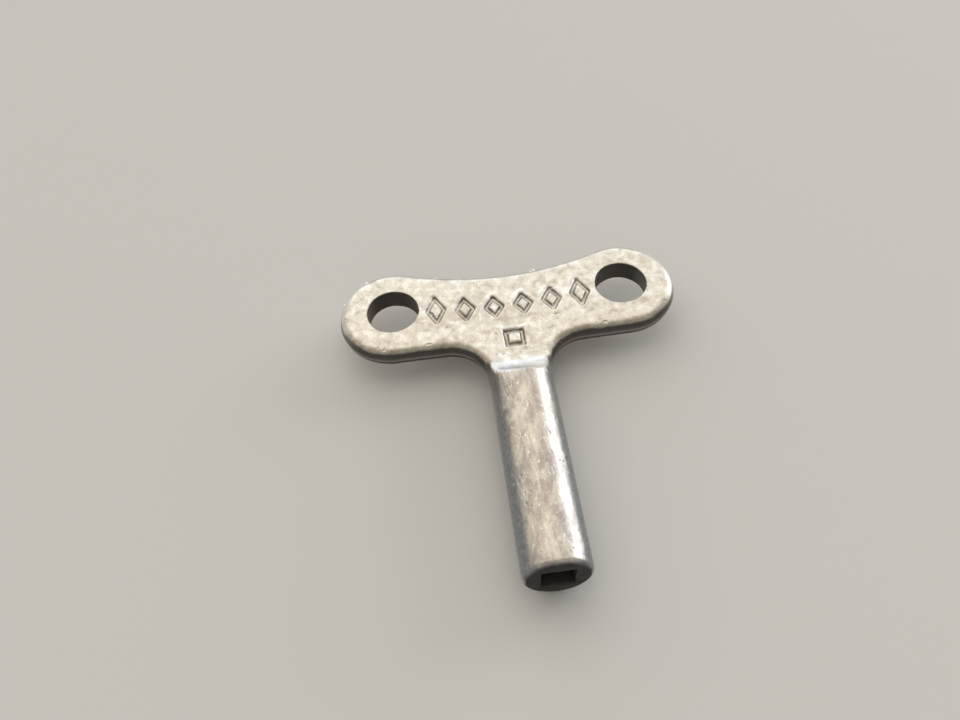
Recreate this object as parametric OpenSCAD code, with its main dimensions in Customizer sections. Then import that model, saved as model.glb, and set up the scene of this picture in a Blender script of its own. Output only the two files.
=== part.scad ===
// Winged key with a square socket: one small die casting, drawn as its two sections.
// Frame: the origin is the centre of the socket's mouth. +Y runs up the barrel to the bow,
// +X across the bow and +Z out of the bow's face. The die parted on the plane Z = 0.

/* [Bow] */
// Distance between the centres of the two eyes
eye_pitch = 24.5; // [22:0.5:28]
// Outer diameter of each eye
eye_d = 11.3; // [10:0.1:12]
// Diameter of the hole through each eye
hole_d = 5.5; // [4:0.1:6.5]
// Thickness of the bow
bow_t = 2.4; // [2:0.1:3.2]
// Radius on the long edges of the bow
edge_r = 0.9; // [0.3:0.1:0.9]
// Height of the top edge's lowest point above the line through the eyes
waist_h = 3.6; // [3:0.1:4.5]
// Radius of the two corners between the wings and the barrel
neck_r = 4.1; // [3:0.1:5]
// Depth of the flat left on one eye where the casting gate was trimmed
gate_cut = 0.3; // [0.1:0.05:0.5]

/* [Barrel] */
// Diameter of the round barrel
barrel_d = 6.4; // [5.5:0.1:7.5]
// Length from the socket's mouth to the line through the eyes
reach = 31.2; // [26:0.1:36]
// Radius on the rim of the mouth
rim_r = 0.6; // [0.1:0.05:0.8]
// Radius of the hollow ramp from the bow's face up to the barrel's crest
ramp_r = 3.4; // [2.8:0.1:4.5]
// Distance from the line through the eyes down to the foot of the ramp
ramp_drop = 7.6; // [7:0.1:9]

/* [Socket] */
// Width across the flats of the square socket
socket_af = 3; // [2.5:0.1:3.5]
// Depth of the square socket
socket_depth = 11; // [6:0.5:16]

/* [Sunk marks] */
// Depth of the marks below the bow's face
mark_depth = 0.35; // [0.2:0.05:0.5]
// Width of the groove that draws each mark
mark_stroke = 0.55; // [0.4:0.05:0.7]
// Number of lozenges in the row between the eyes
mark_count = 6; // [4:2:8]

/* [Hidden] */
$fn = 96;

eps = 0.02;
past = 1; // how far a cutter reaches beyond the metal
half_pitch = eye_pitch / 2;
eye_r = eye_d / 2;
barrel_r = barrel_d / 2;
face_z = bow_t / 2;

// The top edge is an arc that touches both eyes from outside and dips to waist_h between them.
top_arc_r = (half_pitch ^ 2 + waist_h ^ 2 - eye_r ^ 2) / (2 * (eye_r - waist_h));
top_arc_y = top_arc_r + waist_h;
touch = eye_r / (top_arc_r + eye_r);
touch_x = half_pitch * (1 - touch);
touch_y = top_arc_y * touch;
sector_angle = 90 + atan2(touch_y, touch_x - half_pitch);

// The neck's flat sides stand just inside the round barrel, so that it swallows them.
neck_x = sqrt(barrel_r ^ 2 - (face_z - edge_r) ^ 2);
corner_x = neck_x + neck_r;
corner_y = -eye_r - neck_r;

// The ramp meets the barrel's crest here, and the bow ends a little further down the barrel.
crest_rise = barrel_r - face_z;
ramp_run = sqrt(ramp_r ^ 2 - (ramp_r - crest_rise) ^ 2);
overlap_run = 0.2;
bow_end = reach - ramp_drop - ramp_run - overlap_run;

gate_angle = 139;
marks_span = 15.4;
marks_drop = 1.1;
lozenge_w = 2.4;
lozenge_h = 3.3;
lozenge_flare = 1.1;
size_mark = 2.2;
size_mark_drop = 5.5;

// Half of the outline that a convex edge of radius r takes in section, from its axis outwards.
module rounded_slab(r) {
    difference() {
        translate([0, -face_z]) square([r, bow_t]);
        for (side = [-1, 1]) rounding(r, side);
    }
}

// What a rounded corner takes off the section: outside at r, on the upper or lower side.
module rounding(r, side) {
    difference() {
        translate([r - edge_r, side > 0 ? face_z - edge_r : -face_z - eps])
            square([edge_r + eps, edge_r + eps]);
        translate([r - edge_r, side * (face_z - edge_r)]) circle(edge_r);
    }
}

// Section of the cutter for an edge that is hollow in plan: it bites edge_r into both faces.
module hollow_bite(r) {
    translate([0, -face_z - past]) square([r, bow_t + 2 * past]);
    for (side = [-1, 1]) difference() {
        translate([r - eps, side > 0 ? face_z - edge_r : -face_z - past])
            square([edge_r + eps, edge_r + past]);
        translate([r + edge_r, side * (face_z - edge_r)]) circle(edge_r);
    }
}

// The part of the right eye that lies outside the web, between the two lines where they touch.
module eye_sector() {
    rotate([0, 0, -90]) rotate_extrude(angle = sector_angle) rounded_slab(eye_r);
}

module web_outline() {
    polygon([
        [-touch_x, touch_y], [touch_x, touch_y],
        [half_pitch, 0], [half_pitch, -eye_r],
        [corner_x, -eye_r], [corner_x, corner_y],
        [-corner_x, corner_y], [-corner_x, -eye_r],
        [-half_pitch, -eye_r], [-half_pitch, 0],
    ]);
}

// The cutter that rounds the straight lower edge of the right wing on both faces.
module straight_edge_bite() {
    length = half_pitch - corner_x;
    translate([corner_x, -eye_r, 0]) rotate([90, 0, 90])
        linear_extrude(length) mirror([1, 0]) straight_bite();
}

// Section of that cutter, with the metal on the left of the origin.
module straight_bite() {
    for (side = [-1, 1]) difference() {
        translate([-edge_r, side > 0 ? face_z - edge_r : -face_z - past])
            square([edge_r + past, edge_r + past]);
        translate([-edge_r, side * (face_z - edge_r)]) circle(edge_r);
    }
}

module web() {
    difference() {
        translate([0, 0, -face_z]) linear_extrude(bow_t) web_outline();
        translate([0, top_arc_y, 0]) rotate_extrude() hollow_bite(top_arc_r);
        for (side = [-1, 1]) {
            translate([side * corner_x, corner_y, 0]) rotate_extrude() hollow_bite(neck_r);
            mirror([side > 0 ? 0 : 1, 0, 0]) straight_edge_bite();
        }
    }
}

// The end of the round barrel that rises out of both faces of the bow.
module neck_stub() {
    length = reach - ramp_drop - bow_end;
    difference() {
        translate([0, bow_end - reach, 0]) rotate([-90, 0, 0]) cylinder(r = barrel_r, h = length);
        for (side = [-1, 1])
            translate([-barrel_d, -ramp_drop, side * (face_z + ramp_r)])
                rotate([0, 90, 0]) cylinder(r = ramp_r, h = 2 * barrel_d);
    }
}

module lozenge(w, h) {
    polygon([[-w / 2, 0], [0, -h / 2], [w / 2, 0], [0, h / 2]]);
}

// A lozenge drawn as a groove. The inner one keeps the stroke's width on every side.
module lozenge_groove(w, h) {
    inset = mark_stroke * sqrt(w ^ 2 + h ^ 2);
    difference() {
        lozenge(w, h);
        lozenge(w - inset / h * 2, h - inset / w * 2);
    }
}

module square_groove(side) {
    difference() {
        square(side, center = true);
        square(side - 2 * mark_stroke, center = true);
    }
}

// A row of lozenges, taller towards the eyes, over a square that stands for the socket.
module sunk_marks() {
    translate([0, 0, face_z - mark_depth]) linear_extrude(mark_depth + past) {
        for (i = [0 : mark_count - 1]) {
            x = (i / (mark_count - 1) - 0.5) * marks_span;
            grow = lozenge_flare * (2 * x / marks_span) ^ 2;
            translate([x, grow / 2 - marks_drop]) lozenge_groove(lozenge_w, lozenge_h + grow);
        }
        translate([0, -size_mark_drop]) square_groove(size_mark);
    }
}

// Everything beyond the flat where the gate was cut from the left eye.
module gate_flat() {
    translate([-half_pitch, 0, 0]) rotate([0, 0, gate_angle])
        translate([eye_r - gate_cut, -eye_r, -bow_t]) cube([eye_r, eye_d, 2 * bow_t]);
}

module bow() {
    color("silver") translate([0, reach, 0]) difference() {
        union() {
            web();
            translate([half_pitch, 0, 0]) eye_sector();
            mirror([1, 0, 0]) translate([half_pitch, 0, 0]) eye_sector();
            neck_stub();
        }
        for (side = [-1, 1])
            translate([side * half_pitch, 0, -bow_t]) cylinder(d = hole_d, h = 2 * bow_t);
        gate_flat();
        sunk_marks();
    }
}

module barrel() {
    color("lightgray") difference() {
        rotate([-90, 0, 0]) rotate_extrude() {
            translate([0, rim_r]) square([barrel_r, bow_end - rim_r]);
            square([barrel_r - rim_r, rim_r + eps]);
            translate([barrel_r - rim_r, rim_r]) circle(rim_r);
        }
        translate([-socket_af / 2, -past, -socket_af / 2])
            cube([socket_af, socket_depth + past, socket_af]);
    }
}

bow();
barrel();
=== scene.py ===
"""A small winged key lying on a pale floor: one worn die casting, cut in two at the CAD's split plane.

The casting is a signed distance function in millimetres, turned into a mesh by surface nets. How
worn, bare or darker each point of it is, and where highlights and shade are painted on it, comes
from the same function, as layers for the material.
"""

import math

import bmesh
import bpy
import numpy as np
from mathutils import Matrix, Vector


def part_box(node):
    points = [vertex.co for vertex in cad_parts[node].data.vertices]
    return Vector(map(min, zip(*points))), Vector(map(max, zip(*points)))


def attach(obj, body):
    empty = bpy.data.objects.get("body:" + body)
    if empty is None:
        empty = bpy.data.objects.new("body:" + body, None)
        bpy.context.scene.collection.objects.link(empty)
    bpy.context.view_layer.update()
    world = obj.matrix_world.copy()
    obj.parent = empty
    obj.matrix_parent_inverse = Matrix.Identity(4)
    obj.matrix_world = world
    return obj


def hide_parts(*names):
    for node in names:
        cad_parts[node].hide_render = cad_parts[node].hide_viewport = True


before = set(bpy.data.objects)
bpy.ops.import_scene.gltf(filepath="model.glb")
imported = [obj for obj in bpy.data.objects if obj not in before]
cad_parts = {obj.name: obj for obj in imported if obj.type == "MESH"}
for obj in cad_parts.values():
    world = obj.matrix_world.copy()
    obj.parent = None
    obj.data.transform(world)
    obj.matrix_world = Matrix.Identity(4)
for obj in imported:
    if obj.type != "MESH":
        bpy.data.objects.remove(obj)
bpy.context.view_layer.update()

MM = 0.001

# ---------------------------------------------------------------- sizes, in millimetres

# The same driving sizes as the CAD model. y runs from the mouth, x from the middle of the bow.
EYE_PITCH = 24.5
EYE_D = 11.3
HOLE_D = 5.5
BOW_T = 2.4
WAIST_H = 3.6
NECK_R = 4.1
CAD_EDGE_R = 0.9
BARREL_D = 6.4
REACH = 31.2
RAMP_R = 3.4
RAMP_DROP = 7.6
SOCKET_AF = 3.0
SOCKET_DEPTH = 11.0
GATE_CUT = 0.3
GATE_ANGLE = 139.0
MARK_COUNT = 6
MARK_STROKE = 0.55
MARK_DEPTH = 0.35
MARKS_SPAN = 15.4
MARKS_DROP = 1.1
LOZENGE_W = 2.4
LOZENGE_H = 3.3
LOZENGE_FLARE = 1.1
SIZE_MARK = 2.2
SIZE_MARK_DROP = 5.5

# Sizes that follow from them.
HALF_PITCH = EYE_PITCH / 2
EYE_R = EYE_D / 2
HOLE_R = HOLE_D / 2
FACE_Z = BOW_T / 2
BARREL_R = BARREL_D / 2
GATE_X = math.cos(math.radians(GATE_ANGLE))
GATE_Y = math.sin(math.radians(GATE_ANGLE))
TOP_ARC_R = (HALF_PITCH**2 + WAIST_H**2 - EYE_R**2) / (2 * (EYE_R - WAIST_H))
TOP_ARC_Y = TOP_ARC_R + WAIST_H
NECK_X = math.sqrt(BARREL_R**2 - (FACE_Z - CAD_EDGE_R) ** 2)
RAMP_FOOT = REACH - RAMP_DROP
SPLIT_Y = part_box("bow")[0].y / MM

# Rounding that the CAD model leaves plain, or draws tighter.
EDGE_R = 0.98
CREST_R = 0.45
RIM_R = 0.68
HOLE_LIP_R = 0.08
GATE_ROUND = 0.2
SOCKET_ROUND = 0.3

# How far the walls of the bow and of its holes lean from the parting plane to the face.
DRAFT = 0.12
HOLE_DRAFT = 0.05

# Flash along the parting line, and the share of it that stands on the barrel.
FLASH = 0.07
FLASH_WIDTH = 0.13
BARREL_FLASH = 0.6

# Each sunk groove has leaning walls, a raised lip, and a shallow dip outside the lip.
WALL_LEAN = 0.6
FLOOR_ROUND = 0.25
BRINK_ROUND = 0.2
LIP, LIP_OUT, LIP_WIDTH = 0.045, 0.2, 0.17
DIP, DIP_OUT, DIP_WIDTH = 0.03, 0.62, 0.2

# Size of a surface net cell, and how many of them a block of the first coarse look spans.
CELL = 0.108
BLOCK = 4


# ---------------------------------------------------------------- noise

WAVE, RIPPLE, GRAIN, PITS, WOBBLE, FRAY = range(6)
LATTICE_N = 32


def lattice(seed):
    return np.random.default_rng(seed).random((LATTICE_N,) * 3).astype(np.float32)


LATTICES = [lattice(seed) for seed in range(6)]


def noise(x, y, z, size, kind):
    """Smooth value noise in -1..1, whose bumps are about `size` across."""
    grid = LATTICES[kind]
    last = LATTICE_N - 1
    cell, part = [], []
    for axis in (x, y, z):
        t = axis / size + 1000.0
        whole = np.floor(t)
        f = t - whole
        cell.append(whole.astype(np.int32))
        part.append(f * f * (3 - 2 * f))
    total = 0.0
    for dx in (0, 1):
        wx = part[0] if dx else 1 - part[0]
        for dy in (0, 1):
            wy = part[1] if dy else 1 - part[1]
            for dz in (0, 1):
                wz = part[2] if dz else 1 - part[2]
                at = grid[(cell[0] + dx) & last, (cell[1] + dy) & last, (cell[2] + dz) & last]
                total = total + at * wx * wy * wz
    return total * 2 - 1


# ---------------------------------------------------------------- distance functions

def union_round(a, b, k):
    h = np.maximum(k - np.abs(a - b), 0) / k
    return np.minimum(a, b) - h * h * k / 4


def cut_round(a, b, k):
    """Both a and b, with the edge between them rounded."""
    h = np.maximum(k - np.abs(a - b), 0) / k
    return np.maximum(a, b) + h * h * k / 4


def both_round(a, b, r):
    """Both a and b, with a true arc of radius r where they meet at right angles."""
    return np.minimum(np.maximum(a, b), -r) + np.hypot(np.maximum(a + r, 0), np.maximum(b + r, 0))


def soft(value, zero, one):
    """Smooth step from 0 at `zero` to 1 at `one`."""
    t = np.clip((value - zero) / (one - zero), 0, 1)
    return t * t * (3 - 2 * t)


def hump(value, width):
    """1 at zero, falling away on both sides within about `width`."""
    return np.exp(-((value / width) ** 2))


def outline(x, y):
    """Distance to the bow's outline in plan, negative inside. y is measured from the eyes' line."""
    ax = np.abs(x)
    eye = np.hypot(ax - HALF_PITCH, y) - EYE_R
    arc = TOP_ARC_R - np.hypot(ax, y - TOP_ARC_Y)
    corner_x = NECK_X + NECK_R
    corner_y = -EYE_R - NECK_R
    hollow = NECK_R - np.hypot(ax - corner_x, y - corner_y)
    in_hollow = (ax < corner_x) & (y > corner_y)
    lower = np.where(ax > corner_x, -EYE_R - y, np.where(in_hollow, hollow, ax - NECK_X))
    web = np.maximum(arc, lower)
    inside_wedge = ax * TOP_ARC_Y + y * HALF_PITCH < HALF_PITCH * TOP_ARC_Y
    web = np.where(inside_wedge & (ax < HALF_PITCH), web, np.maximum(web, eye))
    return np.minimum(eye, web)


def past_gate(x, y):
    """Distance beyond the flat where the gate was cut from the left eye."""
    return (x + HALF_PITCH) * GATE_X + (y - REACH) * GATE_Y - (EYE_R - GATE_CUT)


def bow_plate(x, y, z):
    az = np.abs(z)
    stub_end = RAMP_FOOT - 3
    plan = np.maximum(outline(x, y - REACH), stub_end - y)
    side = plan + DRAFT * (az / FACE_Z) ** 2 - FLASH * hump(z, FLASH_WIDTH)
    return cut_round(both_round(side, az - FACE_Z, EDGE_R), past_gate(x, y), GATE_ROUND)


def ramp_hollow(y, z):
    """Distance into the hollow cylinder that cuts the ramp."""
    return RAMP_R - np.hypot(np.minimum(y - RAMP_FOOT, 0), np.abs(z) - FACE_Z - RAMP_R)


def barrel_body(x, y, z):
    shank = np.hypot(x, z) - BARREL_R - BARREL_FLASH * FLASH * hump(z, FLASH_WIDTH)
    ramp = np.maximum(ramp_hollow(y, z), y - RAMP_FOOT)
    return both_round(cut_round(shank, ramp, CREST_R), -y, RIM_R)


def lozenge_line(x, y, w, h):
    """Distance to the outline of a lozenge w wide and h high, found in its first quarter."""
    x, y = np.abs(x), np.abs(y)
    dx, dy = -w / 2, h / 2
    t = np.clip(((x - w / 2) * dx + y * dy) / (dx * dx + dy * dy), 0, 1)
    return np.hypot(x - w / 2 - t * dx, y - t * dy)


def marks(x, y):
    """Distance to the middle of the nearest sunk groove, in plan."""
    y = y - REACH
    half = (SIZE_MARK - MARK_STROKE) / 2
    near = np.abs(np.maximum(np.abs(x), np.abs(y + SIZE_MARK_DROP)) - half)
    for i in range(MARK_COUNT):
        middle = (i / (MARK_COUNT - 1) - 0.5) * MARKS_SPAN
        grow = LOZENGE_FLARE * (2 * middle / MARKS_SPAN) ** 2
        w, h = LOZENGE_W, LOZENGE_H + grow
        inset = MARK_STROKE * math.hypot(w, h)
        w, h = w - inset / h, h - inset / w
        near = np.minimum(near, lozenge_line(x - middle, y - grow / 2 + MARKS_DROP, w, h))
    return near


def socket(x, y, z):
    """Distance to the socket's walls, negative inside the hole."""
    across = np.maximum(np.abs(x), np.abs(z)) - SOCKET_AF / 2
    return cut_round(across, y - SOCKET_DEPTH, SOCKET_ROUND)


def slope(body, p, step=0.03):
    """Gradient of a distance function at the points p."""
    g = np.empty_like(p)
    for axis in range(3):
        up, down = p.copy(), p.copy()
        up[:, axis] += step
        down[:, axis] -= step
        g[:, axis] = (body(*up.T) - body(*down.T)) / (2 * step)
    return g


def seat(body, p, most, times):
    """Moves points on to a surface, by at most `most` along each axis each time."""
    for _ in range(times):
        g = slope(body, p)
        square = np.maximum((g * g).sum(1), 0.05)
        move = -(body(*p.T) / square)[:, None] * g
        p = p + np.clip(move, -most, most)
    return p


# Crumbs of metal left on the edge of the bow: near where, and how large.
CRUMBS = np.array([
    (-15.0, REACH + 5.05, 0.6, 0.20),
    (-17.45, REACH + 2.2, 0.45, 0.20),
    (3.35, REACH + 3.75, 0.85, 0.19),
    (3.05, REACH + 3.7, 0.95, 0.12),
    (-7.3, REACH + 4.5, 0.7, 0.12),
])
CRUMBS[:, :3] = seat(bow_plate, CRUMBS[:, :3], 0.5, 6)


def crumbs(x, y, z):
    near = np.full(np.shape(x), 9.0, np.float32)
    for cx, cy, cz, r in CRUMBS:
        away = np.sqrt((x - cx) ** 2 + (y - cy - r / 3) ** 2 + ((z - cz - r / 3) * 1.2) ** 2)
        near = np.minimum(near, away - r)
    return near


def skin_relief(x, y, z):
    """The waviness, grain and pits of the skin. The face waves more than the barrel and the ramp."""
    calm = np.clip((y - RAMP_FOOT - 0.5) / 2, 0, 1)
    skin = (0.004 + 0.026 * calm) * noise(x, y, z, 2.6, WAVE)
    skin = skin + (0.007 + 0.006 * calm) * noise(x, y, z, 0.9, RIPPLE)
    skin = skin + 0.008 * noise(x, y, z, 0.34, GRAIN)
    return skin + 0.05 * np.clip(noise(x, y, z, 0.36, PITS) - 0.66, 0, 1) / 0.34


def casting(x, y, z):
    """The whole key, negative inside."""
    blend = 0.04 + 0.12 * np.clip((y - 20.2) / 1.2, 0, 1)
    body = union_round(bow_plate(x, y, z), barrel_body(x, y, z), blend)
    hole = HOLE_R - np.hypot(np.abs(x) - HALF_PITCH, y - REACH) - HOLE_DRAFT * (np.abs(z) / FACE_Z) ** 2
    body = cut_round(body, hole, 2 * HOLE_LIP_R)
    body = cut_round(body, -socket(x, y, z), SOCKET_ROUND)
    beside = marks(x, y) - MARK_STROKE / 2
    groove = cut_round(beside - WALL_LEAN * (z - FACE_Z), FACE_Z - MARK_DEPTH - z, FLOOR_ROUND)
    body = cut_round(body, -groove, BRINK_ROUND)
    lip = LIP * hump(beside - LIP_OUT, LIP_WIDTH) - DIP * hump(beside - DIP_OUT, DIP_WIDTH)
    body = body - lip * np.clip((z - 0.9) / 0.2, 0, 1)
    return union_round(body, crumbs(x, y, z), 0.12) + skin_relief(x, y, z)


# ---------------------------------------------------------------- surface nets

def distances(low, high, cell, block):
    """Distances on a fine grid, true only where the surface is near."""
    coarse = cell * block
    axes = [np.arange(lo, hi + coarse, coarse, dtype=np.float32) for lo, hi in zip(low, high)]
    fine = casting(*np.meshgrid(*axes, indexing="ij"))
    close = np.abs(fine) < coarse * 1.6
    for axis in range(3):
        fine = np.repeat(fine, block, axis)
        close = np.repeat(close, block, axis)
    origin = np.array([a[0] - (block - 1) / 2 * cell for a in axes])
    where = np.nonzero(close)
    batch = 1_000_000
    for start in range(0, len(where[0]), batch):
        part = tuple(w[start : start + batch] for w in where)
        fine[part] = casting(*(origin[k] + part[k].astype(np.float32) * cell for k in range(3)))
    return origin, fine


def join_corners(field, depth):
    """Takes one more corner inside on each grid face whose inside corners meet only diagonally.

    Such a face would otherwise give an edge with four faces round it.
    """
    found = True
    while found:
        found = False
        for axis in range(3):
            sheet = np.moveaxis(field, axis, 0)
            a, b = sheet[:, :-1, :-1], sheet[:, 1:, :-1]
            c, d = sheet[:, :-1, 1:], sheet[:, 1:, 1:]
            for this, far, near, turned in ((a, d, b, c), (b, c, a, d)):
                crossed = (this < 0) & (far < 0) & (near >= 0) & (turned >= 0)
                turned[crossed] = -depth
                found = found or bool(crossed.any())


def net_vertices(origin, cell, field, inside):
    """The middle of the crossings in each cell that the surface crosses, and the cells' numbers."""
    count = [n - 1 for n in field.shape]
    corners = [(i, j, k) for i in (0, 1) for j in (0, 1) for k in (0, 1)]
    some = np.zeros(count, bool)
    every = np.ones(count, bool)
    for i, j, k in corners:
        part = inside[i : i + count[0], j : j + count[1], k : k + count[2]]
        some |= part
        every &= part
    cells = np.nonzero(some & ~every)
    value = {c: field[tuple(cells[n] + c[n] for n in range(3))] for c in corners}
    total = np.zeros((len(cells[0]), 3))
    hits = np.zeros(len(cells[0]))
    for a in corners:
        for axis in range(3):
            if a[axis]:
                continue
            b = tuple(v + (n == axis) for n, v in enumerate(a))
            crosses = (value[a] < 0) != (value[b] < 0)
            t = np.where(crosses, value[a] / np.where(crosses, value[a] - value[b], 1), 0)
            for n in range(3):
                total[:, n] += np.where(crosses, a[n] + (t if n == axis else 0), 0)
            hits += crosses
    index = np.full(count, -1, np.int64)
    index[cells] = np.arange(len(cells[0]))
    return origin + (np.stack(cells, 1) + total / hits[:, None]) * cell, index


def net_quads(inside, index):
    """One quad over each grid edge that the surface crosses, with its front to the outside."""
    quads = []
    for axis in range(3):
        u, v = (axis + 1) % 3, (axis + 2) % 3
        lo = [slice(1, -1)] * 3
        lo[axis] = slice(0, -1)
        hi = list(lo)
        hi[axis] = slice(1, None)
        a, b = inside[tuple(lo)], inside[tuple(hi)]
        for flip, crossing in ((False, a & ~b), (True, ~a & b)):
            at = list(np.nonzero(crossing))
            at[u] = at[u] + 1
            at[v] = at[v] + 1
            ring = []
            for du, dv in ((-1, -1), (0, -1), (0, 0), (-1, 0)):
                cell_at = list(at)
                cell_at[u] = at[u] + du
                cell_at[v] = at[v] + dv
                ring.append(index[tuple(cell_at)])
            quads.append(np.stack(ring[::-1] if flip else ring, 1))
    return np.concatenate(quads)


def surface_nets(origin, cell, field):
    inside = field < 0
    verts, index = net_vertices(origin, cell, field, inside)
    return verts, net_quads(inside, index)


# ---------------------------------------------------------------- meshes

def build_mesh(name, verts, quads):
    mesh = bpy.data.meshes.new(name)
    mesh.vertices.add(len(verts))
    mesh.vertices.foreach_set("co", (verts * MM).astype(np.float32).ravel())
    mesh.loops.add(len(quads) * 4)
    mesh.loops.foreach_set("vertex_index", quads.astype(np.int32).ravel())
    mesh.polygons.add(len(quads))
    mesh.polygons.foreach_set("loop_start", np.arange(0, len(quads) * 4, 4, dtype=np.int32))
    mesh.update(calc_edges=True)
    mesh.validate()
    return mesh


def casting_mesh():
    """The whole casting as one closed mesh."""
    margin, mouth_margin = 0.8, 0.9
    side = HALF_PITCH + EYE_R + margin
    low = np.array([-side, -mouth_margin, -BARREL_R - margin])
    high = np.array([side, REACH + EYE_R + margin, BARREL_R + margin])
    origin, field = distances(low, high, CELL, BLOCK)
    join_corners(field, 0.1 * CELL)
    verts, quads = surface_nets(origin, CELL, field)
    return build_mesh("casting", seat(casting, verts, 0.5 * CELL, 2), quads)


def half_mesh(whole, name, keep_upper):
    """The part of the casting above or below the split plane, closed by a flat cap."""
    bm = bmesh.new()
    bm.from_mesh(whole)
    cut = bmesh.ops.bisect_plane(
        bm,
        geom=bm.verts[:] + bm.edges[:] + bm.faces[:],
        dist=1e-9,
        plane_co=(0, SPLIT_Y * MM, 0),
        plane_no=(0, 1, 0),
        clear_outer=not keep_upper,
        clear_inner=keep_upper,
    )
    rim = [g for g in cut["geom_cut"] if isinstance(g, bmesh.types.BMEdge) and g.is_valid]
    bmesh.ops.edgenet_fill(bm, edges=rim)
    bmesh.ops.recalc_face_normals(bm, faces=bm.faces[:])
    mesh = bpy.data.meshes.new(name)
    bm.to_mesh(mesh)
    bm.free()
    return mesh


# ---------------------------------------------------------------- layers of wear, darkening and painted light and shade

# Bands, from where a layer is 0 to where it is 1. Lengths are in millimetres. A lift is the part of
# the surface's normal along z: 1 on the flat faces, 0 on upright walls.
SHANK_FROM_SPLIT = (1.5, -0.5)
NECK_FROM_SPLIT = (3.4, 1.0)
WING_END_PAST_EYE = (1.5, 4.0)
WING_END_OVER_EYES = (-4.5, -0.5)
FLANK_LIFT = (0.80, 0.56)
PALER_FLANK_START = (13, 19)
PALER_FLANK_STOP = (23.5, 21.5)
GATE_TRIM = (-0.45, -0.2)
RIM_HIGHLIGHT_TOP_LIFT = (0.90, 0.76)
RIM_HIGHLIGHT_FOOT_LIFT = (0.30, 0.60)
CREST_DISTANCE = (0.32, 0.08)
CREST_LEFT = (-0.2, -1.6)
MOUTH_DEPTH = (0.8, 0.15)
MOUTH_FROM_RIM = (0.1, -0.45)
PARTING_LIFT = (0.9, 0.6)
ROLL_LIFT = (0.985, 0.86)
POLISH_AND_HIGHLIGHT_SLOPE = (0.06, 0.34)
DULL_HEIGHT = (2.55, 2.85)
DULL_RIGHT = (-1.6, -0.4)
STEEP_SLOPE = (0.45, 0.62)
STEEP_LEFT = (2.0, -1.0)

# The ramp's layers stop at this y, on the barrel's side of its crest.
RAMP_HEAD = 19.5


def hollow_and_proud(p, normal):
    """How far metal closes in on each point, and how far it falls away round it, both 0 to 1."""
    hollow = np.zeros(len(p))
    proud = np.zeros(len(p))
    reaches = (0.25, 0.5, 0.9)
    for reach in reaches:
        hollow += np.clip((reach - casting(*(p + normal * reach).T)) / reach, 0, 1)
        proud += np.clip((reach + casting(*(p - normal * reach).T)) / reach, 0, 1)
    return hollow / len(reaches), proud / len(reaches)


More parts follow.
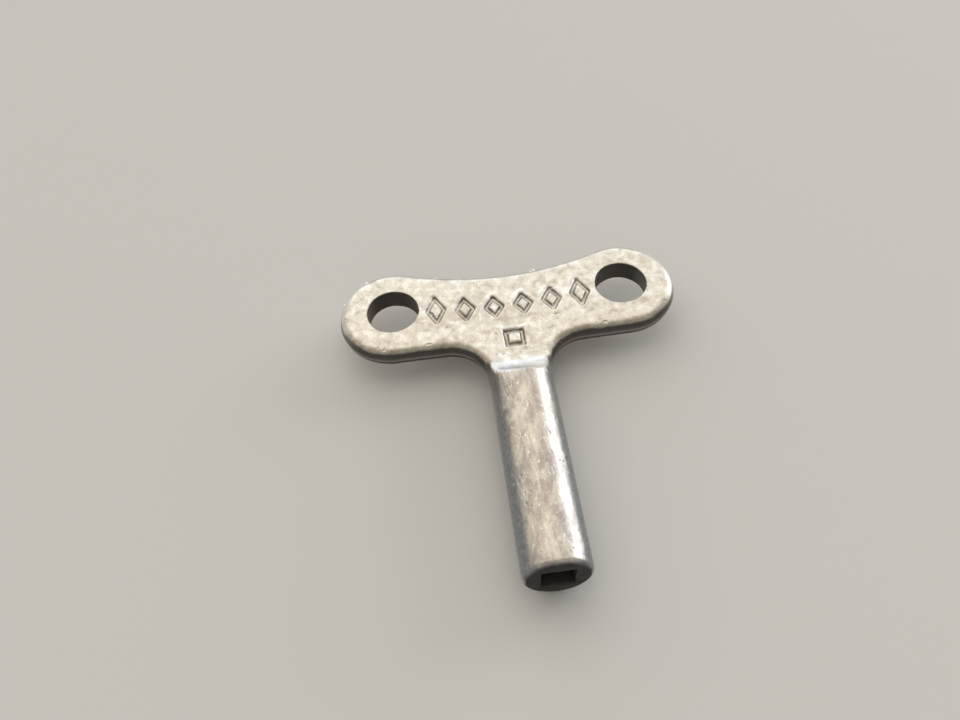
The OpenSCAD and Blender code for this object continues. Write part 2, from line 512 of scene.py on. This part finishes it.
def layers(p, normal):
    """What the material reads at each point, 0 to 1. Polish and highlight goes on to 2 where the ramp
    is steep, for its painted dark reflection.
    """
    x, y, z = p.T
    ny, nz = normal[:, 1], np.abs(normal[:, 2])
    off_plane, off_axis = np.abs(z), np.hypot(x, z)
    hollow, proud = hollow_and_proud(p, normal)
    groove = marks(x, y)

    shank = soft(y - SPLIT_Y, *SHANK_FROM_SPLIT)
    neck = soft(y - SPLIT_Y, *NECK_FROM_SPLIT)
    ends = soft(np.abs(x) - HALF_PITCH, *WING_END_PAST_EYE) * soft(y - REACH, *WING_END_OVER_EYES)
    wobble = 0.03 * noise(x, y, z, 1.3, WOBBLE) + 0.03 * noise(x, y, z, 0.5, FRAY)
    wobble = wobble + 0.02 * noise(x, y, z, 0.2, WOBBLE)
    # Painted shade and dark reflection on the upright sides, less at the wing ends and near the neck.
    flank_top, flank_foot = FLANK_LIFT
    side_shade = soft(nz + wobble, flank_top - 0.03 * shank, flank_foot + 0.02 * shank) * (1 - 0.35 * ends)
    side_shade = side_shade * (1 - 0.25 * soft(y, *PALER_FLANK_START) * soft(y, *PALER_FLANK_STOP))

    # Bare metal on the crumbs and the trimmed gate; painted highlight on the rims of the wing ends and
    # along the left of the ramp's crest.
    crumb = soft(crumbs(x, y, z), 0.06, 0.0)
    trimmed = 0.8 * soft(past_gate(x, y), *GATE_TRIM)
    rim_highlight = 0.6 * ends * soft(nz, *RIM_HIGHLIGHT_TOP_LIFT) * soft(nz, *RIM_HIGHLIGHT_FOOT_LIFT)
    bare_and_rim_highlight = np.maximum(crumb, np.maximum(trimmed, rim_highlight))
    from_crest = np.abs(off_axis - BARREL_R - ramp_hollow(y, z))
    by_ramp = (y > RAMP_HEAD) & (y < RAMP_FOOT) & (off_plane > FACE_Z)
    crest = 0.85 * soft(from_crest, *CREST_DISTANCE) * soft(x, *CREST_LEFT) * by_ramp

    # Darker in the hollows, and painted shade on the mouth's end face and inside the socket.
    sunk = np.clip((MARK_STROKE - groove) / 0.2, 0, 1) * (z > 0.5)
    hollow = hollow * (1 - 0.92 * sunk) * (1 - 0.6 * shank) * (1 - 0.6 * ends)
    mouth = soft(y, *MOUTH_DEPTH) * soft(off_axis - BARREL_R, *MOUTH_FROM_RIM)
    inside = soft(np.maximum(np.abs(x), off_plane), SOCKET_AF / 2 + 0.12, SOCKET_AF / 2)
    inside = inside * (y < SOCKET_DEPTH + 1)

    # The parting line shows bright along the sides, partly as worn flash and partly as painted
    # highlight, widest on the barrel; but not in a hole or across the mouth.
    in_hole = np.hypot(np.abs(x) - HALF_PITCH, y - REACH) < HOLE_R + 0.3
    end_face = (y < 2) & (np.abs(ny) > 0.85)
    parting = (0.3 + 0.15 * shank) * hump(z, 0.15 + 0.3 * shank) * soft(nz, *PARTING_LIFT)
    parting = parting * ~in_hole * ~end_face * (1 - inside) * (1 - crumb)

    # Painted shade: the face darkens where it starts to roll over its edge, away from the marks.
    roll = soft(nz, *ROLL_LIFT) * (1 - side_shade) * (1 - shank)
    roll = roll * soft(groove, MARK_STROKE, MARK_STROKE + 0.3) * (1 - bare_and_rim_highlight) * (1 - 0.6 * ends)

    # The ramp is polished and has a painted highlight, both least at its top right; its steep part has
    # a painted darker reflection.
    on_ramp = (y > RAMP_HEAD) & (y < RAMP_FOOT - 0.3) & (off_plane > FACE_Z + 0.05)
    polish_and_highlight = soft(ny, *POLISH_AND_HIGHLIGHT_SLOPE) * on_ramp
    polish_and_highlight = polish_and_highlight * (1 - 0.9 * soft(off_plane, *DULL_HEIGHT) * soft(x, *DULL_RIGHT))
    steep = soft(ny, *STEEP_SLOPE) * (y > RAMP_FOOT - 3) * soft(x, *STEEP_LEFT)

    hollows_and_shade = np.maximum(hollow * (1 - polish_and_highlight), np.maximum(0.45 * mouth, inside))
    # Edge wear where metal stands proud; the painted highlights join this layer below.
    wear_and_highlight = proud * (1 - mouth) * (1 - inside) * (0.4 + 0.6 * shank)
    return {
        "hollows_and_shade": hollows_and_shade * (1 - parting) * (1 - bare_and_rim_highlight),
        "wear_and_highlight": np.maximum(wear_and_highlight, np.maximum(bare_and_rim_highlight, crest)),
        "side_shade": side_shade * (1 - bare_and_rim_highlight),
        "parting": parting,
        "shank": shank,
        "neck": neck,
        "roll": roll * (1 - polish_and_highlight),
        "polish_and_highlight": polish_and_highlight * (1 + steep),
    }


def finish_surface(mesh):
    """Layers for the material, and normals from the distance function, which match along the join."""
    co = np.empty(len(mesh.vertices) * 3, np.float32)
    mesh.vertices.foreach_get("co", co)
    p = co.reshape(-1, 3).astype(np.float64) / MM
    g = slope(casting, p)
    normal = g / np.maximum(np.linalg.norm(g, axis=1), 1e-9)[:, None]
    for label, value in layers(p, normal).items():
        layer = mesh.attributes.new(label, "FLOAT", "POINT")
        layer.data.foreach_set("value", value.astype(np.float32))
    loops = np.empty(len(mesh.loops), np.int32)
    mesh.loops.foreach_get("vertex_index", loops)
    split = normal[loops]
    for poly in mesh.polygons:
        is_cap = len(poly.vertices) > 4 and abs(poly.normal.y) > 0.99
        if is_cap:
            split[poly.loop_start : poly.loop_start + poly.loop_total] = poly.normal
    mesh.polygons.foreach_set("use_smooth", np.ones(len(mesh.polygons), bool))
    mesh.normals_split_custom_set(split.tolist())


# ---------------------------------------------------------------- material

FACE_CREAM = (0.83, 0.79, 0.70)
FACE_TAN = (0.75, 0.705, 0.615)
FACE_PALE = (0.95, 0.925, 0.855)
FACE_STAIN = (0.55, 0.49, 0.42)
ROLL_SHADE = (0.66, 0.62, 0.56)
BARREL_BROWN = (0.46, 0.405, 0.37)
BARREL_CREAM = (0.71, 0.67, 0.59)
BARREL_FLECK = (0.95, 0.93, 0.88)
# Painted shade and dark reflection for the bow's walls and the barrel's sides.
WALL_SHADE = (0.11, 0.10, 0.09)
SIDE_SHADE_DARK = (0.25, 0.265, 0.28)
SIDE_SHADE_PALE = (0.36, 0.375, 0.395)

# What the fine grain mixes in, light and dark, on the faces, and on the painted-shade walls and sides
# of the barrel.
FACE_GRAIN_LIGHT = (0.90, 0.87, 0.80)
WALL_GRAIN_LIGHT = (0.20, 0.19, 0.18)
SIDE_GRAIN_LIGHT = (0.46, 0.475, 0.50)
FACE_GRAIN_DARK = (0.46, 0.41, 0.35)
FLANK_GRAIN_DARK = (0.08, 0.08, 0.085)

# A painted highlight and a painted dark reflection for the ramp.
RAMP_HIGHLIGHT = (0.82, 0.82, 0.83)
RAMP_DARK_REFLECTION = (0.38, 0.40, 0.44)
# Bare metal, also used for the painted highlights.
BARE_METAL_AND_HIGHLIGHT = (0.90, 0.90, 0.90)
# Darkening for the hollows, and painted shade for the mouth's end face and the socket.
HOLLOW_AND_SHADE_DARK = (0.07, 0.062, 0.055)


def node(tree, kind, **inputs):
    n = tree.nodes.new(kind)
    for key, value in inputs.items():
        n.inputs[key].default_value = value
    return n


def plug(tree, value, target):
    """Sets an input to a value, or links it to an output."""
    if isinstance(value, bpy.types.NodeSocket):
        tree.links.new(value, target)
    elif isinstance(value, tuple) and target.type == "RGBA":
        target.default_value = (*value, 1)
    else:
        target.default_value = value


def vector_math(tree, operation, vector, other, value):
    """A vector node, with the vector as its first input and the value as the input called `other`."""
    n = tree.nodes.new("ShaderNodeVectorMath")
    n.operation = operation
    plug(tree, vector, n.inputs[0])
    plug(tree, value, n.inputs[other])
    return n.outputs["Value" if operation == "DOT_PRODUCT" else "Vector"]


def noise_tex(tree, coords, scale, detail, roughness=0.55, distortion=0.0):
    settings = {"Scale": scale, "Detail": detail, "Roughness": roughness, "Distortion": distortion}
    n = node(tree, "ShaderNodeTexNoise", **settings)
    plug(tree, coords, n.inputs["Vector"])
    return n.outputs["Fac"]


def ramp(tree, value, *stops):
    """Maps 0..1 through stops of (position, grey level)."""
    n = tree.nodes.new("ShaderNodeValToRGB")
    while len(n.color_ramp.elements) < len(stops):
        n.color_ramp.elements.new(0.5)
    for element, (position, level) in zip(n.color_ramp.elements, stops):
        element.position = position
        element.color = (level, level, level, 1)
    plug(tree, value, n.inputs["Fac"])
    return n.outputs["Color"]


def mix(tree, factor, a, b, blend="MIX"):
    n = tree.nodes.new("ShaderNodeMix")
    n.data_type = "RGBA"
    n.blend_type = blend
    for target, value in ((n.inputs[0], factor), (n.inputs[6], a), (n.inputs[7], b)):
        plug(tree, value, target)
    return n.outputs[2]


def math_node(tree, operation, a, b):
    n = tree.nodes.new("ShaderNodeMath")
    n.operation = operation
    plug(tree, a, n.inputs[0])
    plug(tree, b, n.inputs[1])
    return n.outputs[0]


def attribute(tree, name):
    n = node(tree, "ShaderNodeAttribute")
    n.attribute_name = name
    return n.outputs["Fac"]


def grey(level):
    return (level, level, level)


def face_colour(tree, broad, blotch):
    """Cream, with broad tan clouds, pale patches and brown stains."""
    colour = mix(tree, ramp(tree, broad, (0.35, 0.0), (0.65, 1.0)), FACE_CREAM, FACE_TAN)
    colour = mix(tree, ramp(tree, blotch, (0.50, 0.0), (0.62, 0.95)), colour, FACE_PALE)
    return mix(tree, ramp(tree, blotch, (0.30, 0.8), (0.46, 0.0)), colour, FACE_STAIN)


def barrel_colour(tree, blotch, streak, fleck):
    """Brown-grey and cream in streaks along the barrel, with bright flecks in patches."""
    colour = mix(tree, ramp(tree, streak, (0.40, 0.0), (0.60, 1.0)), BARREL_BROWN, BARREL_CREAM)
    patchy = ramp(tree, blotch, (0.48, 0.0), (0.56, 0.85))
    flecks = math_node(tree, "MULTIPLY", ramp(tree, fleck, (0.60, 0.0), (0.67, 1.0)), patchy)
    return mix(tree, flecks, colour, BARREL_FLECK)


def side_shade_colour(tree, mottle, neck):
    """Painted shade and reflection: nearly black on the walls of the bow, mottled blue-grey on the
    sides of the barrel.
    """
    greys = mix(tree, ramp(tree, mottle, (0.38, 0.0), (0.64, 1.0)), SIDE_SHADE_DARK, SIDE_SHADE_PALE)
    return mix(tree, neck, WALL_SHADE, greys)


def cast_metal():
    mat = bpy.data.materials.new("cast_metal")
    mat.use_nodes = True
    tree = mat.node_tree
    shader = tree.nodes["Principled BSDF"]
    side_shade, shank, neck, wear_and_highlight, hollows_and_shade, parting, roll, polish_and_highlight = (
        attribute(tree, name)
        for name in ("side_shade", "shank", "neck", "wear_and_highlight", "hollows_and_shade", "parting", "roll", "polish_and_highlight")
    )

    place = tree.nodes.new("ShaderNodeTexCoord")
    coords = vector_math(tree, "SCALE", place.outputs["Object"], "Scale", 1 / MM)
    along = vector_math(tree, "MULTIPLY", coords, 1, (1.0, 0.36, 1.0))
    broad = noise_tex(tree, coords, 0.22, 3)
    blotch = noise_tex(tree, coords, 0.9, 3, 0.6, 0.4)
    mottle = noise_tex(tree, coords, 2.4, 4, 0.65, 0.3)
    grain = noise_tex(tree, coords, 4.5, 6, 0.7)
    pits = noise_tex(tree, coords, 5.5, 3, 0.6)
    streak = noise_tex(tree, along, 1.0, 4, 0.62, 0.5)
    fleck = noise_tex(tree, along, 4.2, 2, 0.5, 0.6)

    on_face = face_colour(tree, broad, blotch)
    on_barrel = barrel_colour(tree, blotch, streak, fleck)
    colour = mix(tree, shank, on_face, on_barrel)
    # Painted shade and dark reflection on the upright sides.
    colour = mix(tree, side_shade, colour, side_shade_colour(tree, mottle, neck))
    # Painted shade where the face rolls over its edge.
    colour = mix(tree, roll, colour, mix(tree, 1.0, colour, ROLL_SHADE, "MULTIPLY"))
    flank_light = mix(tree, shank, WALL_GRAIN_LIGHT, SIDE_GRAIN_LIGHT)
    light = mix(tree, side_shade, FACE_GRAIN_LIGHT, flank_light)
    dark = mix(tree, side_shade, FACE_GRAIN_DARK, FLANK_GRAIN_DARK)
    colour = mix(tree, ramp(tree, grain, (0.50, 0.0), (0.72, 0.45)), colour, light)
    colour = mix(tree, ramp(tree, grain, (0.30, 0.55), (0.44, 0.0)), colour, dark)

    # Painted highlight across the ramp, and a painted dark reflection on its steep part.
    highlight_band = ramp(tree, polish_and_highlight, (0.0, 0.0), (1.0, 0.45))
    dark_reflection_band = ramp(tree, math_node(tree, "SUBTRACT", polish_and_highlight, 1.0), (0.1, 0.0), (0.9, 0.7))
    colour = mix(tree, highlight_band, colour, RAMP_HIGHLIGHT)
    colour = mix(tree, dark_reflection_band, colour, RAMP_DARK_REFLECTION)

    # Bare metal and edge wear, with painted highlights on the wing rims, the ramp's crest and along the
    # parting line.
    worn_and_highlight = math_node(tree, "ADD", wear_and_highlight, math_node(tree, "MULTIPLY", grain, 0.2))
    worn_and_highlight = ramp(tree, worn_and_highlight, (0.36, 0.0), (0.80, 0.75))
    worn_and_highlight = math_node(tree, "MAXIMUM", worn_and_highlight, math_node(tree, "MULTIPLY", parting, 0.9))
    colour = mix(tree, worn_and_highlight, colour, BARE_METAL_AND_HIGHLIGHT)
    # Darker in the hollows, and painted shade on the mouth's end face and in the socket.
    darkened = math_node(tree, "ADD", hollows_and_shade, math_node(tree, "MULTIPLY", blotch, 0.2))
    darkened = ramp(tree, darkened, (0.20, 0.0), (0.55, 0.9))
    colour = mix(tree, darkened, colour, HOLLOW_AND_SHADE_DARK)
    plug(tree, colour, shader.inputs["Base Color"])

    face_rough = ramp(tree, blotch, (0.3, 0.52), (0.7, 0.40))
    barrel_rough = ramp(tree, streak, (0.3, 0.40), (0.7, 0.30))
    rough = mix(tree, shank, face_rough, barrel_rough)
    for where, level in ((worn_and_highlight, 0.46), (highlight_band, 0.28), (darkened, 0.8)):
        rough = mix(tree, where, rough, grey(level))
    plug(tree, rough, shader.inputs["Roughness"])
    shader.inputs["Metallic"].default_value = 1.0

    fine = math_node(tree, "MULTIPLY", grain, 0.6)
    deep = math_node(tree, "MULTIPLY", ramp(tree, pits, (0.25, 0.0), (0.4, 1.0)), 0.4)
    bump = node(tree, "ShaderNodeBump", Strength=0.35, Distance=0.06 * MM)
    plug(tree, math_node(tree, "ADD", fine, deep), bump.inputs["Height"])
    plug(tree, bump.outputs["Normal"], shader.inputs["Normal"])
    return mat


# ---------------------------------------------------------------- the key

whole = casting_mesh()
metal = cast_metal()
for name, cad_node, upper in (("bow_casting", "bow", True), ("barrel_casting", "barrel", False)):
    mesh = half_mesh(whole, name, upper)
    finish_surface(mesh)
    mesh.materials.append(metal)
    piece = bpy.data.objects.new(name, mesh)
    bpy.context.scene.collection.objects.link(piece)
    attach(piece, "root")
    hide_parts(cad_node)
bpy.data.meshes.remove(whole)


# ---------------------------------------------------------------- floor

FLOOR_SIDE = 3.0
FLOOR_GAP = 0.03


def pale_floor():
    """A flat square of paper under the barrel, just clear of its wavy skin."""
    half = FLOOR_SIDE / 2
    corners = [(-half, -half, 0), (half, -half, 0), (half, half, 0), (-half, half, 0)]
    mesh = bpy.data.meshes.new("floor")
    mesh.from_pydata(corners, [], [(0, 1, 2, 3)])
    paper = bpy.data.materials.new("pale_floor")
    paper.use_nodes = True
    shader = paper.node_tree.nodes["Principled BSDF"]
    shader.inputs["Base Color"].default_value = (0.72, 0.71, 0.69, 1)
    shader.inputs["Roughness"].default_value = 0.9
    mesh.materials.append(paper)
    floor = bpy.data.objects.new("floor", mesh)
    floor.location.z = -(BARREL_R + FLOOR_GAP) * MM
    bpy.context.scene.collection.objects.link(floor)
    return floor


pale_floor()


# ---------------------------------------------------------------- light

MIDDLE = Vector((0, 22 * MM, 0))

# A cool window low on the right. Its sizes are in metres.
WINDOW_DIRECTION = (0.85, 0.45, 0.26)
WINDOW_DISTANCE = 0.5
WINDOW_WIDTH = 0.26
WINDOW_HEIGHT = 0.18
WINDOW_WATTS = 0.30
WINDOW_COLOUR = (0.86, 0.93, 1.0)

# The soft light round the key: direction, the angles in degrees from it at which the light begins
# and is full, and its colour. Each lies over the ones before.
AROUND = (0.16, 0.16, 0.17)
GLOWS = [
    ((0, 0, 1), 93, 70, (0.36, 0.35, 0.33)),
    ((-0.1, 0.62, 0.72), 75, 25, (1.12, 1.05, 0.94)),
    ((0.0, 0.98, 0.20), 32, 18, (1.30, 1.40, 1.52)),
    ((0.42, 0.60, 0.68), 22, 8, (0.86, 0.79, 0.74)),
    ((0.880, 0.448, 0.156), 25, 17, (2.0, 2.08, 2.16)),
]


def window_light():
    data = bpy.data.lights.new("window", "AREA")
    data.shape = "RECTANGLE"
    data.size, data.size_y = WINDOW_WIDTH, WINDOW_HEIGHT
    data.energy = WINDOW_WATTS
    data.color = WINDOW_COLOUR
    lamp = bpy.data.objects.new("window", data)
    away = Vector(WINDOW_DIRECTION).normalized()
    lamp.location = MIDDLE + away * WINDOW_DISTANCE
    lamp.rotation_euler = away.to_track_quat("Z", "Y").to_euler()
    bpy.context.scene.collection.objects.link(lamp)


def glow_mask(tree, direction, edge, core):
    """1 within core degrees of a direction, falling to 0 at edge degrees."""
    place = tree.nodes.new("ShaderNodeTexCoord")
    toward = tuple(Vector(direction).normalized())
    near = vector_math(tree, "DOT_PRODUCT", place.outputs["Generated"], 1, toward)
    fade = tree.nodes.new("ShaderNodeMapRange")
    fade.interpolation_type = "SMOOTHSTEP"
    fade.inputs["From Min"].default_value = math.cos(math.radians(edge))
    fade.inputs["From Max"].default_value = math.cos(math.radians(core))
    plug(tree, near, fade.inputs["Value"])
    return fade.outputs["Result"]


def studio():
    world = bpy.data.worlds.new("studio")
    world.use_nodes = True
    tree = world.node_tree
    light = AROUND
    for direction, edge, core, colour in GLOWS:
        light = mix(tree, glow_mask(tree, direction, edge, core), light, colour)
    plug(tree, light, tree.nodes["Background"].inputs["Color"])
    tree.nodes["Background"].inputs["Strength"].default_value = 1.0
    bpy.context.scene.world = world


window_light()
studio()
bpy.context.scene.view_settings.view_transform = "Standard"


# ---------------------------------------------------------------- camera

CAMERA_AT = Vector((-6.50, -27.33, 70.27)) * MM
AZIMUTH, ELEVATION, ROLL = -2.971, 53.674, -5.098

lens = bpy.data.cameras.new("camera")
lens.lens = 31.875
lens.sensor_width = 36
lens.clip_start = 0.001
lens.clip_end = 10
camera = bpy.data.objects.new("camera", lens)
place = Matrix.Translation(CAMERA_AT)
for angle, axis in ((AZIMUTH, "Z"), (90 - ELEVATION, "X"), (ROLL, "Z")):
    place = place @ Matrix.Rotation(math.radians(angle), 4, axis)
camera.matrix_world = place
bpy.context.scene.collection.objects.link(camera)
bpy.context.scene.camera = camera
